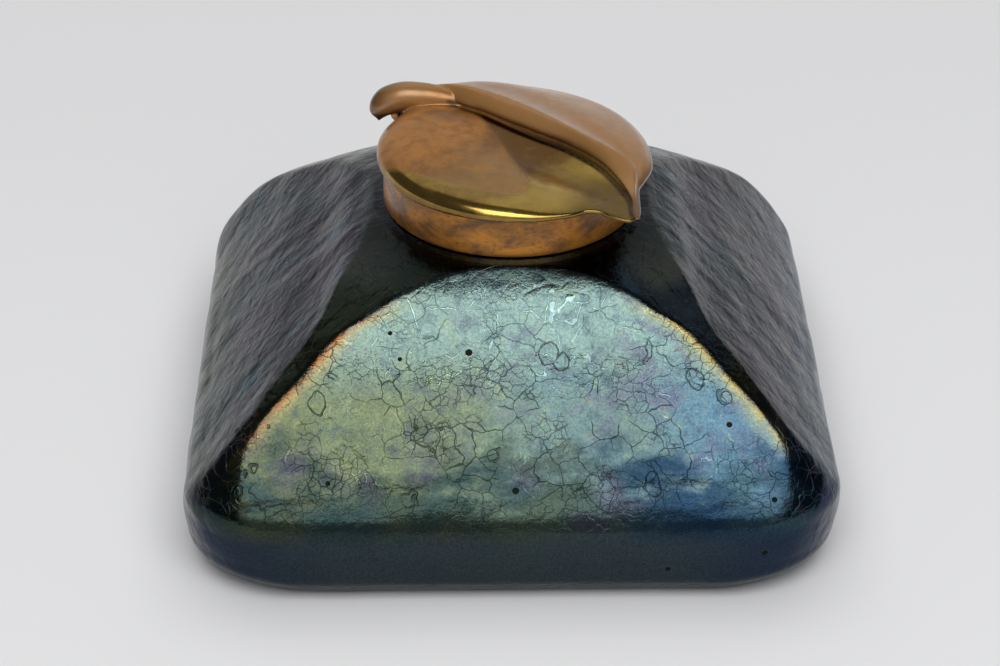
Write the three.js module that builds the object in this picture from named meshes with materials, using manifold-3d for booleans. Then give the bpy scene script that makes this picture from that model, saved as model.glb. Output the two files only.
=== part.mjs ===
// Inkwell: a pyramid-shaped hollow glass body, a brass collar and a hinged, cast brass lid.
// Millimetres, +Z up. The origin is the centre of the base, which stands on Z = 0.
import * as THREE from 'three';
import { mergeVertices } from 'three/addons/utils/BufferGeometryUtils.js';
import Module from 'manifold-3d';

const wasm = await Module();
wasm.setup();

// ---- driving dimensions ----

const BODY_HALF_WIDTH = 60;
const BASE_HALF_WIDTH = 53.7;
const BULGE_Z = 12.6;
const SHOULDER_Z = 50.9;
const SHOULDER_RADIUS = 25.9;

const NECK_RADIUS = 21.6;
const NECK_BORE_RADIUS = 17.6;
const NECK_TOP_Z = 55;
const NECK_CENTRE_X = 0.6;

const FIT_GAP = 0.3;

const COLLAR_RADIUS = 23.9;
const COLLAR_WALL = 0.8;
const COLLAR_BOTTOM_Z = 51.3;
const COLLAR_TOP_Z = 59.6;
const COLLAR_OPENING_RADIUS = 20;
const COLLAR_CHAMFER = 0.4;

const POT_RADIUS = 16.4;
const POT_WALL = 1.8;
const POT_FLOOR_Z = 22;
const POT_FLANGE_RADIUS = 19.2;
const POT_TOP_Z = 57;

const LID_UNDERSIDE_Z = 60;
const LID_TURN = THREE.MathUtils.degToRad(-47);
const LID_RING_RADIUS = 19.6;
const LID_RING_WALL = 0.7;
const LID_RING_BOTTOM_Z = 57.5;

const HINGE_U = -27.6;
const HINGE_Z = 59.4;
const KNUCKLE_RADIUS = 1.5;
const PIN_RADIUS = 0.7;
const HINGE_HALF_LENGTH = 3.8;
const LID_KNUCKLE_HALF_LENGTH = 1.45;

// ---- materials ----

const lustreGlass = { color: 0x2a5560, roughness: 0.25, metalness: 0.6 };
const clearGlass = { color: 0xcfdcd6, roughness: 0.08, metalness: 0 };
const lidBrass = { color: 0x8f6a3a, roughness: 0.28, metalness: 1 };
const collarBrass = { color: 0xa06a34, roughness: 0.42, metalness: 1 };
const plaster = { color: 0xd8d0bf, roughness: 0.95, metalness: 0 };

// ---- helpers ----

// A smooth curve through [position, value] keys, read at x.
function through(keys, x) {
  const last = keys.length - 1;
  if (x <= keys[0][0]) return keys[0][1];
  if (x >= keys[last][0]) return keys[last][1];
  const i = keys.findIndex((key, n) => n < last && x < keys[n + 1][0]);
  const slope = (n) => (keys[n + 1][1] - keys[n][1]) / (keys[n + 1][0] - keys[n][0]);
  const width = (n) => keys[n + 1][0] - keys[n][0];
  const tangent = (n) => {
    if (n === 0) return slope(0);
    if (n === last) return slope(last - 1);
    return (slope(n - 1) * width(n) + slope(n) * width(n - 1)) / (width(n) + width(n - 1));
  };
  const h = width(i);
  const t = (x - keys[i][0]) / h;
  const start = keys[i][1] * (1 + 2 * t) * (1 - t) ** 2 + tangent(i) * h * t * (1 - t) ** 2;
  const end = keys[i + 1][1] * t * t * (3 - 2 * t) + tangent(i + 1) * h * t * t * (t - 1);
  return start + end;
}

// A closed skin over a stack of closed rings of points, with a single point at each end.
// The rings run anticlockwise when they are seen against the direction of the stack.
function skin(startPoint, rings, endPoint) {
  const count = rings[0].length;
  const positions = [startPoint, ...rings.flat(), endPoint].flatMap((p) => [p.x, p.y, p.z]);
  const at = (ring, n) => 1 + ring * count + (n % count);
  const endIndex = 1 + rings.length * count;
  const triangles = [];
  for (let n = 0; n < count; n += 1) {
    triangles.push(0, at(0, n + 1), at(0, n));
    for (let ring = 0; ring < rings.length - 1; ring += 1) {
      triangles.push(at(ring, n), at(ring, n + 1), at(ring + 1, n + 1));
      triangles.push(at(ring, n), at(ring + 1, n + 1), at(ring + 1, n));
    }
    triangles.push(at(rings.length - 1, n), at(rings.length - 1, n + 1), endIndex);
  }
  const geometry = new THREE.BufferGeometry();
  geometry.setAttribute('position', new THREE.Float32BufferAttribute(positions, 3));
  geometry.setIndex(triangles);
  return geometry;
}

function toSolid(geometry) {
  const bare = geometry.clone();
  bare.deleteAttribute('normal');
  bare.deleteAttribute('uv');
  const merged = mergeVertices(bare, 1e-4);
  const vertProperties = new Float32Array(merged.attributes.position.array);
  const triVerts = new Uint32Array(merged.index.array);
  return new wasm.Manifold(new wasm.Mesh({ numProp: 3, vertProperties, triVerts }));
}

function toGeometry(solid) {
  const mesh = solid.getMesh();
  const geometry = new THREE.BufferGeometry();
  geometry.setAttribute('position', new THREE.BufferAttribute(new Float32Array(mesh.vertProperties), 3));
  geometry.setIndex(new THREE.BufferAttribute(new Uint32Array(mesh.triVerts), 1));
  return geometry;
}

function box(min, max) {
  const size = max.map((value, n) => value - min[n]);
  const centre = max.map((value, n) => (value + min[n]) / 2);
  return new THREE.BoxGeometry(...size).translate(...centre);
}

function part(name, geometry, finish) {
  const mesh = new THREE.Mesh(geometry, new THREE.MeshStandardMaterial(finish));
  mesh.name = name;
  return mesh;
}

// A turned piece. The outline is [radius, z] points, anticlockwise with the radius to the right.
function turned(outline, segments) {
  const points = outline.map(([radius, z]) => new THREE.Vector2(radius, z));
  return new THREE.LatheGeometry([...points, points[0].clone()], segments).rotateX(Math.PI / 2);
}

// A flat outline in the U-Z plane, given thickness along V.
function extrudedAlongV(shape, halfLength) {
  const settings = { depth: 2 * halfLength, bevelEnabled: false, curveSegments: 8 };
  const geometry = new THREE.ExtrudeGeometry(shape, settings);
  return geometry.rotateX(Math.PI / 2).translate(0, halfLength, 0);
}

// ---- glass body ----

// Half the width across the flats of the outside, from the base up to the shoulder.
const outsideHalfWidth = [
  [0, BASE_HALF_WIDTH], [1.2, 56.4], [3.6, 58.7], [8, 59.8], [BULGE_Z, BODY_HALF_WIDTH], [17, 58.9],
  [20, 56.8], [27.3, 50.7], [34.6, 43.5], [41.8, 35.5], [47.3, 30.5], [SHOULDER_Z, SHOULDER_RADIUS],
];

// Corner radius in plan, where two faces meet.
const outsideCornerRadius = [
  [0, 23], [3.6, 21], [13.6, 18.3], [20, 10.5], [27.3, 4], [33, 2], [SHOULDER_Z, 2],
];

// Radius of the dome that the four faces cut. It falls away from the neck to the corners.
const domeRadius = [
  [16, 92], [20, 84], [24, 76.8], [28, 70.2], [33, 62.6], [38, 54.2], [42.7, 46.2], [45, 41.6], [47.9, 35.6],
  [49.6, 30.6], [SHOULDER_Z, SHOULDER_RADIUS],
];
const DOME_EDGE = 0.3;

const insideHalfWidth = [
  [7, 44], [8.5, 49], [13, 52.4], [20, 49.4], [27.3, 43.2], [34.6, 36], [41.8, 27.6], [46, 20.4],
  [48, NECK_BORE_RADIUS],
];

const insideCornerRadius = [
  [7, 16], [13, 14], [20, 9], [34.6, 5], [41.8, 9], [46, 18], [48, NECK_BORE_RADIUS],
];

const RING_STEPS_PER_SIDE = 18;

// Distance from the centre of a round-cornered square to its edge, in one direction.
function squareRadius(angle, halfWidth, cornerRadius) {
  const larger = Math.max(Math.abs(Math.cos(angle)), Math.abs(Math.sin(angle)));
  const smaller = Math.min(Math.abs(Math.cos(angle)), Math.abs(Math.sin(angle)));
  const straight = halfWidth - cornerRadius;
  if (halfWidth * smaller <= straight * larger) return halfWidth / larger;
  const reach = straight * (larger + smaller);
  return reach + Math.sqrt(reach ** 2 - 2 * straight ** 2 + cornerRadius ** 2);
}

// The faces end in an arch at the top, where they run into the dome.
function outsideRadius(angle, z) {
  const face = squareRadius(angle, through(outsideHalfWidth, z), through(outsideCornerRadius, z));
  const dome = through(domeRadius, z);
  return Math.min(face, dome) - DOME_EDGE * Math.log1p(Math.exp(-Math.abs(face - dome) / DOME_EDGE));
}

const insideRadius = (angle, z) =>
  squareRadius(angle, through(insideHalfWidth, z), through(insideCornerRadius, z));

// One ring of the body. Its points crowd towards the four corners.
function bodyRing(z, radiusAt, centreX) {
  const ring = [];
  for (let corner = 0; corner < 4; corner += 1) {
    for (let n = 0; n < RING_STEPS_PER_SIDE; n += 1) {
      const t = (2 * n) / RING_STEPS_PER_SIDE - 1;
      const angle = (Math.PI / 4) * (2 * corner + 1 + 0.75 * t + 0.25 * t ** 3);
      const radius = radiusAt(angle, z);
      ring.push(new THREE.Vector3(centreX + radius * Math.cos(angle), radius * Math.sin(angle), z));
    }
  }
  return ring;
}

// The neck stands a little off the middle of the base, so the rings drift across with height.
const centreAt = (z) => NECK_CENTRE_X * Math.min(z / SHOULDER_Z, 1);

function glassBodyGeometry() {
  const outsideLevels = [
    0, 1.2, 3.6, 8, BULGE_Z, 17, 20, 24, 27.3, 31, 34.6, 38, 41.8, 44.5, 47.3, 49.3, SHOULDER_Z,
  ];
  const outside = outsideLevels.map((z) => bodyRing(z, outsideRadius, centreAt(z)));
  const neckLevels = [
    [COLLAR_BOTTOM_Z - FIT_GAP, NECK_RADIUS], [NECK_TOP_Z, NECK_RADIUS], [NECK_TOP_Z, NECK_BORE_RADIUS],
  ];
  const neck = neckLevels.map(([z, radius]) => bodyRing(z, () => radius, NECK_CENTRE_X));
  const insideLevels = [48, 46, 44, 41.8, 38, 34.6, 27.3, 20, 13, 8.5, 7];
  const inside = insideLevels.map((z) => bodyRing(z, insideRadius, centreAt(z)));
  const floor = new THREE.Vector3(0, 0, insideHalfWidth[0][0]);
  return skin(new THREE.Vector3(0, 0, 0), [...outside, ...neck, ...inside], floor);
}

// ---- collar, plaster and ink pot ----

const ROUND_SEGMENTS = 40;

function collarGeometry() {
  const inner = COLLAR_RADIUS - COLLAR_WALL;
  return turned(
    [
      [COLLAR_RADIUS, COLLAR_BOTTOM_Z], [COLLAR_RADIUS, COLLAR_TOP_Z - COLLAR_CHAMFER],
      [COLLAR_RADIUS - COLLAR_CHAMFER, COLLAR_TOP_Z],
      [COLLAR_OPENING_RADIUS, COLLAR_TOP_Z], [COLLAR_OPENING_RADIUS, COLLAR_TOP_Z - COLLAR_WALL],
      [inner, COLLAR_TOP_Z - COLLAR_WALL], [inner, COLLAR_BOTTOM_Z],
    ],
    ROUND_SEGMENTS,
  );
}

function plasterGeometry() {
  const inner = NECK_RADIUS + FIT_GAP;
  const outer = COLLAR_RADIUS - COLLAR_WALL - FIT_GAP;
  return turned(
    [[inner, COLLAR_BOTTOM_Z], [outer, COLLAR_BOTTOM_Z], [outer, NECK_TOP_Z], [inner, NECK_TOP_Z]],
    ROUND_SEGMENTS,
  );
}

const POT_FOOT_CHAMFER = 2;
const POT_FLOOR_THICKNESS = 2.5;

function potGeometry() {
  const bore = POT_RADIUS - POT_WALL;
  const insideZ = POT_FLOOR_Z + POT_FLOOR_THICKNESS;
  const foot = POT_FOOT_CHAMFER;
  const flangeZ = NECK_TOP_Z + FIT_GAP;
  const points = [
    [0, POT_FLOOR_Z], [POT_RADIUS - foot, POT_FLOOR_Z], [POT_RADIUS, POT_FLOOR_Z + foot], [POT_RADIUS, flangeZ],
    [POT_FLANGE_RADIUS, flangeZ], [POT_FLANGE_RADIUS, POT_TOP_Z], [bore, POT_TOP_Z],
    [bore, insideZ + POT_FLOOR_THICKNESS], [bore - POT_FLOOR_THICKNESS, insideZ], [0, insideZ],
  ].map(([radius, z]) => new THREE.Vector2(radius, z));
  return new THREE.LatheGeometry(points, ROUND_SEGMENTS).rotateX(Math.PI / 2);
}

// ---- hinge, in lid coordinates: U runs from the hinge to the thumb tip, V to its left ----

const LEAF_INNER_U = -(COLLAR_RADIUS + FIT_GAP);
const LEAF_OUTER_U = LEAF_INNER_U - 1.5;
const CLEAR_OF_HINGE = 5;
const LEAF_BOTTOM_Z = 54.4;
const LEAF_TOP_Z = COLLAR_TOP_Z - 0.6;

function knuckle(halfLength) {
  const ring = new THREE.Shape().absarc(HINGE_U, HINGE_Z, KNUCKLE_RADIUS, 0, 2 * Math.PI);
  return toSolid(extrudedAlongV(ring, halfLength));
}

function pinBore() {
  const bore = new THREE.Shape().absarc(HINGE_U, HINGE_Z, PIN_RADIUS + FIT_GAP, 0, 2 * Math.PI);
  return toSolid(extrudedAlongV(bore, 2 * HINGE_HALF_LENGTH));
}

function collarLeafGeometry() {
  const width = HINGE_HALF_LENGTH;
  const plate = box([LEAF_OUTER_U, -width, LEAF_BOTTOM_Z], [LEAF_INNER_U, width, LEAF_TOP_Z]);
  const arm = box([HINGE_U, -width, HINGE_Z - KNUCKLE_RADIUS], [LEAF_OUTER_U + 0.5, width, LEAF_TOP_Z]);
  const gap = LID_KNUCKLE_HALF_LENGTH + FIT_GAP;
  const notch = box(
    [HINGE_U - CLEAR_OF_HINGE, -gap, HINGE_Z - CLEAR_OF_HINGE],
    [LEAF_OUTER_U, gap, HINGE_Z + CLEAR_OF_HINGE],
  );
  const leaf = toSolid(plate).add(toSolid(arm)).add(knuckle(width));
  return toGeometry(leaf.subtract(toSolid(notch)).subtract(pinBore()));
}

const LID_LEAF_END_U = -20.8;
const LID_LEAF_HALF_WIDTH = 2.2;
const LID_LEAF_THICKNESS = 0.8;

function lidLeafGeometry() {
  const width = LID_KNUCKLE_HALF_LENGTH;
  const top = LID_UNDERSIDE_Z + LID_LEAF_THICKNESS;
  const wide = LID_LEAF_HALF_WIDTH;
  const neck = box([HINGE_U, -width, LID_UNDERSIDE_Z], [LID_LEAF_END_U - 1, width, top]);
  const plate = box([LEAF_OUTER_U, -wide, LID_UNDERSIDE_Z], [LID_LEAF_END_U, wide, top]);
  return toGeometry(toSolid(neck).add(toSolid(plate)).add(knuckle(width)).subtract(pinBore()));
}

function pinGeometry() {
  const headStart = HINGE_HALF_LENGTH + FIT_GAP;
  const headEnd = headStart + 0.5;
  const headRadius = 1.15;
  const half = [
    [PIN_RADIUS, headStart], [headRadius, headStart], [headRadius, headEnd - 0.2],
    [headRadius - 0.3, headEnd],
  ];
  const points = [
    [0, -headEnd], ...half.map(([radius, along]) => [radius, -along]).reverse(), ...half, [0, headEnd],
  ].map(([radius, along]) => new THREE.Vector2(radius, along));
  return new THREE.LatheGeometry(points, 12);
}

// ---- lid ----

// Radius of the lid's edge, by the angle round from the thumb tip. The tip runs out at angle 0.
const lidEdge = [
  [-180, 25], [-150, 25], [-120, 25.1], [-90, 25.6], [-60, 26.2], [-35, 26.7], [-20, 27], [-13, 27.2],
  [-9.5, 28.6], [-7.5, 30.7], [-5, 32.8], [-1.8, 33.7], [1.8, 32.5], [6.7, 30.2], [13.3, 27.8], [20, 27.2],
  [30, 27], [43, 26.1], [61, 25.3], [90, 25], [180, 25],
];

// The fold crosses the lid from the stem to the tip. Its lip overhangs the front cushion and its crest is
// the highest line of the lid. Both are read at U.
const lipV = [
  [-25, -5], [-23, -3.7], [-21.7, -1.8], [-18.6, 0.3], [-13, 1.2], [-4.2, 2.1], [3.8, 3.4], [10, 4.9],
  [18.6, 5.5], [22.1, 4.8], [26, 3.6], [29.3, 2], [32.2, -0.5], [33.7, -1.2],
];
const lipZ = [
  [-25, 61.6], [-23, 62.3], [-18.6, 64.1], [-12, 64.9], [-4, 65], [4, 64.7], [13, 63.8], [18.6, 63],
  [22, 62.4], [26, 61.6], [29.3, 60.8], [33.7, 59.9],
];
const crestV = [
  [-25, -1], [-23.8, -0.4], [-19.8, 1.6], [-16.2, 3.1], [-11.8, 4.2], [-1.9, 5.7], [9.1, 6.6], [14.1, 7.1],
  [18.8, 8], [22, 8.6], [25, 7.4], [28, 4.2], [33.7, -1.2],
];
const crestZ = [
  [-25, 65], [-23.8, 65.5], [-19.8, 66.8], [-16.2, 67.3], [-9, 67.5], [-1.9, 67.4], [3.5, 67.1], [9.1, 66.6],
  [14.1, 66], [18.8, 65.2], [22, 64.3], [25, 62.9], [28, 61.6], [33.7, 59.9],
];

// Heights of the two sides of the fold. Each rail lies at one fraction of the way across its side, and
// gives a height at every station along U.
const stations = [-25, -20, -10, 0, 10, 18, 25, 33.7];
const frontRails = [
  [0, [61.6, 62.8, 63.4, 63.4, 63.1, 62.6, 61.3, 60]],
  [0.45, [61.8, 63.6, 64.6, 64.3, 63, 62, 60.9, 60]],
  [0.82, [61.9, 63.6, 64.4, 63.2, 61.8, 61.1, 60.6, 59.9]],
  [1, [61.6, 62.9, 64, 63.6, 62.8, 61.8, 60.8, 59.9]],
];
const backRails = [
  [0.14, [64, 66.2, 66.8, 66.4, 65.4, 64, 61.9, 60]],
  [0.45, [63, 65, 65.6, 65.2, 64.5, 63.3, 61.6, 60]],
  [0.8, [62, 62.8, 63.1, 63, 62.8, 62.3, 61.3, 60]],
  [1, [61.3, 61.5, 61.6, 61.6, 61.5, 61.3, 61, 60]],
];

const EDGE_HEIGHT = 0.6;
const FRONT_EDGE_ROUNDING = 3.4;
const BACK_EDGE_ROUNDING = 2.2;
const UNDERSIDE_HOLLOW = 2.2;
const TIP_START_U = 26;
const TIP_END_U = 33.6;
const TIP_END_V = -1.2;
const TIP_DROP = 0.6;

const degreesAt = (u, v) => THREE.MathUtils.radToDeg(Math.atan2(v, u));

// Where a line across the lid at U meets its edge, on the side given by +1 or -1.
function edgeV(u, side) {
  let low = 0;
  let high = 180;
  for (let n = 0; n < 30; n += 1) {
    const angle = (low + high) / 2;
    const reach = through(lidEdge, side * angle) * Math.cos(THREE.MathUtils.degToRad(angle));
    if (reach > u) low = angle;
    else high = angle;
  }
  return side * through(lidEdge, side * low) * Math.sin(THREE.MathUtils.degToRad(low));
}

const tipShare = (u) => THREE.MathUtils.smoothstep(u, TIP_START_U, TIP_END_U - 1);
const bottomZ = (u) => LID_UNDERSIDE_Z - TIP_DROP * tipShare(u);

// The top rolls over to the edge as a quarter ellipse.
function rolledOver(u, v, z) {
  const inset = through(lidEdge, degreesAt(u, v)) - Math.hypot(u, v);
  const rounding = v < through(lipV, u) ? FRONT_EDGE_ROUNDING : BACK_EDGE_ROUNDING;
  const share = THREE.MathUtils.clamp(inset / rounding, 0, 1);
  const edgeZ = bottomZ(u) + EDGE_HEIGHT;
  return edgeZ + Math.max(z - edgeZ, 0) * Math.sqrt(1 - (1 - share) ** 2);
}

const heightAt = (heights, u) => through(stations.map((station, n) => [station, heights[n]]), u);
const railHeights = (rails, u) => rails.map(([share, heights]) => [share, heightAt(heights, u)]);

// A shallow hollow under the thick, folded part of the casting.
function undersideZ(u, v) {
  const hollow = 1 - ((u + 6) / 11) ** 2 - ((v - 5) / 9) ** 2;
  return bottomZ(u) + UNDERSIDE_HOLLOW * Math.sqrt(Math.max(hollow, 0));
}

const FRONT_STEPS = 10;
const BACK_STEPS = 9;
const UNDER_STEPS = 8;

// One section of the lid, across it at U: underside, back, crest, lip, crevice, front cushion.
function lidSection(u) {
  const front = edgeV(u, -1);
  const back = edgeV(u, 1);
  const margin = 0.05 * (back - front);
  const inside = (v) => THREE.MathUtils.clamp(v, front + margin, back - margin);
  const lip = inside(through(lipV, u));
  const crest = Math.max(inside(through(crestV, u)), lip + 0.02 * (back - front));
  const section = [];
  const frontHeights = railHeights(frontRails, u);
  for (let n = 0; n <= FRONT_STEPS; n += 1) {
    const share = Math.sin((n / FRONT_STEPS) * (Math.PI / 2)) ** 2;
    const v = front + (lip - front) * share;
    section.push([v, rolledOver(u, v, through(frontHeights, share))]);
  }
  const creviceZ = section.at(-1)[1];
  const lipTopZ = Math.max(rolledOver(u, lip, through(lipZ, u)), creviceZ + 0.02);
  section.push([lip + 0.01 * (crest - lip), lipTopZ]);
  const backHeights = [[0, through(crestZ, u)], ...railHeights(backRails, u)];
  for (let n = 0; n <= BACK_STEPS; n += 1) {
    const share = Math.sin((n / BACK_STEPS) * (Math.PI / 2)) ** 2;
    const v = crest + (back - crest) * share;
    section.push([v, rolledOver(u, v, through(backHeights, share))]);
  }
  for (let n = 0; n <= UNDER_STEPS; n += 1) {
    const v = back + (front - back) * (n / UNDER_STEPS);
    section.push([v, undersideZ(u, v)]);
  }
  return section.reverse().map(([v, z]) => new THREE.Vector3(u, v, z));
}

const LID_SECTIONS = 34;

function lidTopSolid() {
  const hingeEnd = -through(lidEdge, 180);
  const sections = [];
  for (let n = 1; n < LID_SECTIONS; n += 1) {
    const share = (1 - Math.cos((Math.PI * n) / LID_SECTIONS)) / 2;
    sections.push(lidSection(hingeEnd + (TIP_END_U - hingeEnd) * share));
  }
  const hingePoint = new THREE.Vector3(hingeEnd, 0, LID_UNDERSIDE_Z + EDGE_HEIGHT / 2);
  const tipPoint = new THREE.Vector3(TIP_END_U, TIP_END_V, bottomZ(TIP_END_U) + EDGE_HEIGHT / 2);
  return toSolid(skin(hingePoint, sections, tipPoint));
}

// The stem rises out of the fold, bends over the edge of the lid and curls down.
const stemPoints = [
  [-15.5, 3.4, 63.2], [-18.6, 1.2, 64], [-22.4, -1.8, 64.4], [-25.6, -4.6, 64.1], [-27.5, -6.5, 62.9],
  [-28, -7.7, 61.2], [-27.8, -8.1, 60],
];
const stemPath = new THREE.CatmullRomCurve3(stemPoints.map((point) => new THREE.Vector3(...point)));
const stemRadius = [[0, 1.4], [0.25, 2.3], [0.5, 2.7], [0.75, 2.8], [0.87, 2.7], [0.94, 2.3], [1, 1.3]];
const STEM_STEPS = 18;
const STEM_SIDES = 14;

function stemSolid() {
  const frames = stemPath.computeFrenetFrames(STEM_STEPS);
  const rings = frames.tangents.map((tangent, n) => {
    const centre = stemPath.getPointAt(n / STEM_STEPS);
    const radius = through(stemRadius, n / STEM_STEPS);
    return Array.from({ length: STEM_SIDES }, (_, side) => {
      const angle = (2 * Math.PI * side) / STEM_SIDES;
      return centre
        .clone()
        .addScaledVector(frames.normals[n], radius * Math.cos(angle))
        .addScaledVector(frames.binormals[n], radius * Math.sin(angle));
    });
  });
  const end = stemPath.getPointAt(1).addScaledVector(frames.tangents.at(-1), 0.9);
  return toSolid(skin(stemPath.getPointAt(0), rings, end));
}

function lidGeometry() {
  const pocketWidth = LID_LEAF_HALF_WIDTH + FIT_GAP;
  const pocketTop = LID_UNDERSIDE_Z + LID_LEAF_THICKNESS + FIT_GAP;
  const pocketEnd = LID_LEAF_END_U + FIT_GAP;
  const pocketStart = HINGE_U - 2 * CLEAR_OF_HINGE;
  const pocket = box([pocketStart, -pocketWidth, LID_UNDERSIDE_Z - 1], [pocketEnd, pocketWidth, pocketTop]);
  return toGeometry(lidTopSolid().add(stemSolid()).subtract(toSolid(pocket)));
}

function lidRingGeometry() {
  const inner = LID_RING_RADIUS - LID_RING_WALL;
  const top = LID_UNDERSIDE_Z - FIT_GAP;
  return turned(
    [[inner, LID_RING_BOTTOM_Z], [LID_RING_RADIUS, LID_RING_BOTTOM_Z], [LID_RING_RADIUS, top], [inner, top]],
    ROUND_SEGMENTS,
  );
}

// ---- assembly ----

const neckGroup = new THREE.Group();
neckGroup.position.x = NECK_CENTRE_X;
neckGroup.add(
  part('neck_plaster', plasterGeometry(), plaster),
  part('collar_band', collarGeometry(), collarBrass),
  part('ink_pot', potGeometry(), clearGlass),
);

const hingePin = part('hinge_pin', pinGeometry(), lidBrass);
hingePin.position.set(HINGE_U, 0, HINGE_Z);

const lidGroup = new THREE.Group();
lidGroup.position.x = NECK_CENTRE_X;
lidGroup.rotation.z = LID_TURN;
lidGroup.add(
  part('collar_hinge_leaf', collarLeafGeometry(), lidBrass),
  hingePin,
  part('lid_hinge_leaf', lidLeafGeometry(), lidBrass),
  part('lid_shell', lidGeometry(), lidBrass),
  part('lid_ring', lidRingGeometry(), lidBrass),
);

const group = new THREE.Group();
group.add(part('glass_body', glassBodyGeometry(), lustreGlass), neckGroup, lidGroup);

export default group;
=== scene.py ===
import math

import bpy
import numpy as np
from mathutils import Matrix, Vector, noise


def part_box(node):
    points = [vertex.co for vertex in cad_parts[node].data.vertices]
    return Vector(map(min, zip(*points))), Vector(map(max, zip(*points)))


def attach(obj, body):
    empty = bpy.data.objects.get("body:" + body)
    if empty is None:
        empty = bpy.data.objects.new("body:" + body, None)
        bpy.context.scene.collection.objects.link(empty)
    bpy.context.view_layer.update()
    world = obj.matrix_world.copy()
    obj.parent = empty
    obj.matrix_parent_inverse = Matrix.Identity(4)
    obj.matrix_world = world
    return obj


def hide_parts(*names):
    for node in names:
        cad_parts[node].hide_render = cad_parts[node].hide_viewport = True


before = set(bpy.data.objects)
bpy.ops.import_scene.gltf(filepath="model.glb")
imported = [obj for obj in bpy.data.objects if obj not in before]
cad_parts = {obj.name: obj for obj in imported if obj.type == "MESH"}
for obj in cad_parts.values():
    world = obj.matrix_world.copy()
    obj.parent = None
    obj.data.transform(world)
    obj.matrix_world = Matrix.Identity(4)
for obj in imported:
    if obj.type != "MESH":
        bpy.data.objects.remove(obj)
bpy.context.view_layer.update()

MM = 0.001


# ---- sizes, read from the frame where it has them ----

def node_box_mm(node):
    low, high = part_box(node)
    return np.array(low) / MM, np.array(high) / MM


BODY_LOW, BODY_HIGH = node_box_mm("glass_body")
COLLAR_LOW, COLLAR_HIGH = node_box_mm("collar_band")
POT_LOW, POT_HIGH = node_box_mm("ink_pot")

BODY_HALF_WIDTH = (BODY_HIGH[1] - BODY_LOW[1]) / 2
NECK_TOP_Z = BODY_HIGH[2]
NECK_CENTRE = np.array([(COLLAR_LOW[0] + COLLAR_HIGH[0]) / 2, 0.0])
COLLAR_RADIUS = (COLLAR_HIGH[1] - COLLAR_LOW[1]) / 2
COLLAR_BOTTOM_Z = COLLAR_LOW[2]
COLLAR_TOP_Z = COLLAR_HIGH[2]
COLLAR_WALL = 0.8
COLLAR_OPENING_RADIUS = 20.0

SHOULDER_Z = 50.9
SHOULDER_RADIUS = 25.9
NECK_RADIUS = 21.6
NECK_BORE_RADIUS = 17.6
LAND_Z = 51.0

POT_RADIUS = 16.4
POT_WALL = 1.8
POT_FOOT = 2.0
POT_FLOOR_THICKNESS = 2.5
LID_RING_WALL = 0.7
PLASTER_WALL = 0.9
POT_FLANGE_RADIUS = (POT_HIGH[1] - POT_LOW[1]) / 2
POT_FLANGE_BOTTOM_Z = NECK_TOP_Z + 0.3

LID_TURN = math.radians(-47)
LID_UNDERSIDE_Z = 60.0
LEAF_POCKET_HALF_WIDTH = 2.5
LEAF_POCKET_START_U = -40
LEAF_POCKET_END_U = -20.5
LEAF_POCKET_TOP_Z = 61.1


# ---- helpers: keyed curves, meshes and noise ----

def through(keys, x):
    """A smooth curve through (position, value) keys, read at x. The values may be arrays."""
    places = np.array([key[0] for key in keys], float)
    values = np.array([key[1] for key in keys], float)
    widths = np.diff(places)
    slopes = np.diff(values) / widths
    inner = (slopes[:-1] * widths[1:] + slopes[1:] * widths[:-1]) / (widths[1:] + widths[:-1])
    tangents = np.concatenate([slopes[:1], inner, slopes[-1:]])
    x = np.clip(np.asarray(x, float), places[0], places[-1])
    i = np.clip(np.searchsorted(places, x, side="right") - 1, 0, len(places) - 2)
    h = widths[i]
    t = (x - places[i]) / h
    start = values[i] * (1 + 2 * t) * (1 - t) ** 2 + tangents[i] * h * t * (1 - t) ** 2
    end = values[i + 1] * t * t * (3 - 2 * t) + tangents[i + 1] * h * t * t * (t - 1)
    return start + end


def smoothstep(x, low, high):
    t = np.clip((x - low) / (high - low), 0, 1)
    return t * t * (3 - 2 * t)


def smoothstep_one(x, low, high):
    t = min(max((x - low) / (high - low), 0.0), 1.0)
    return t * t * (3 - 2 * t)


def linked(name, data):
    """A new object in the scene."""
    item = bpy.data.objects.new(name, data)
    bpy.context.scene.collection.objects.link(item)
    return item


def new_object(name, points_mm, faces, body, node):
    """A mesh object from points in millimetres, riding on a body and standing for a CAD node."""
    mesh = bpy.data.meshes.new(name)
    mesh.from_pydata((np.asarray(points_mm) * MM).tolist(), [], faces)
    mesh.update()
    piece = linked(name, mesh)
    mesh.shade_smooth()
    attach(piece, body)
    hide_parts(node)
    return piece


def skin_faces(ring_count, ring_size):
    """Faces of a closed skin: a start point, rings of points, and an end point."""
    def at(ring, n):
        return 1 + ring * ring_size + n % ring_size

    end = 1 + ring_count * ring_size
    faces = [(0, at(0, n + 1), at(0, n)) for n in range(ring_size)]
    for ring in range(ring_count - 1):
        faces += [
            (at(ring, n), at(ring, n + 1), at(ring + 1, n + 1), at(ring + 1, n))
            for n in range(ring_size)
        ]
    faces += [(at(ring_count - 1, n), at(ring_count - 1, n + 1), end) for n in range(ring_size)]
    return faces


def skin_points(start, rings, end):
    return np.concatenate([[start], rings.reshape(-1, 3), [end]])


def each(points, function):
    """One number for each point, from a function of a mathutils Vector."""
    values = [function(Vector(point)) for point in points.reshape(-1, 3)]
    return np.array(values).reshape(points.shape[:-1])


def set_attribute(piece, name, values):
    attribute = piece.data.attributes.new(name, "FLOAT", "POINT")
    attribute.data.foreach_set("value", np.asarray(values, np.float32).ravel())


# ---- glass body ----

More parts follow.
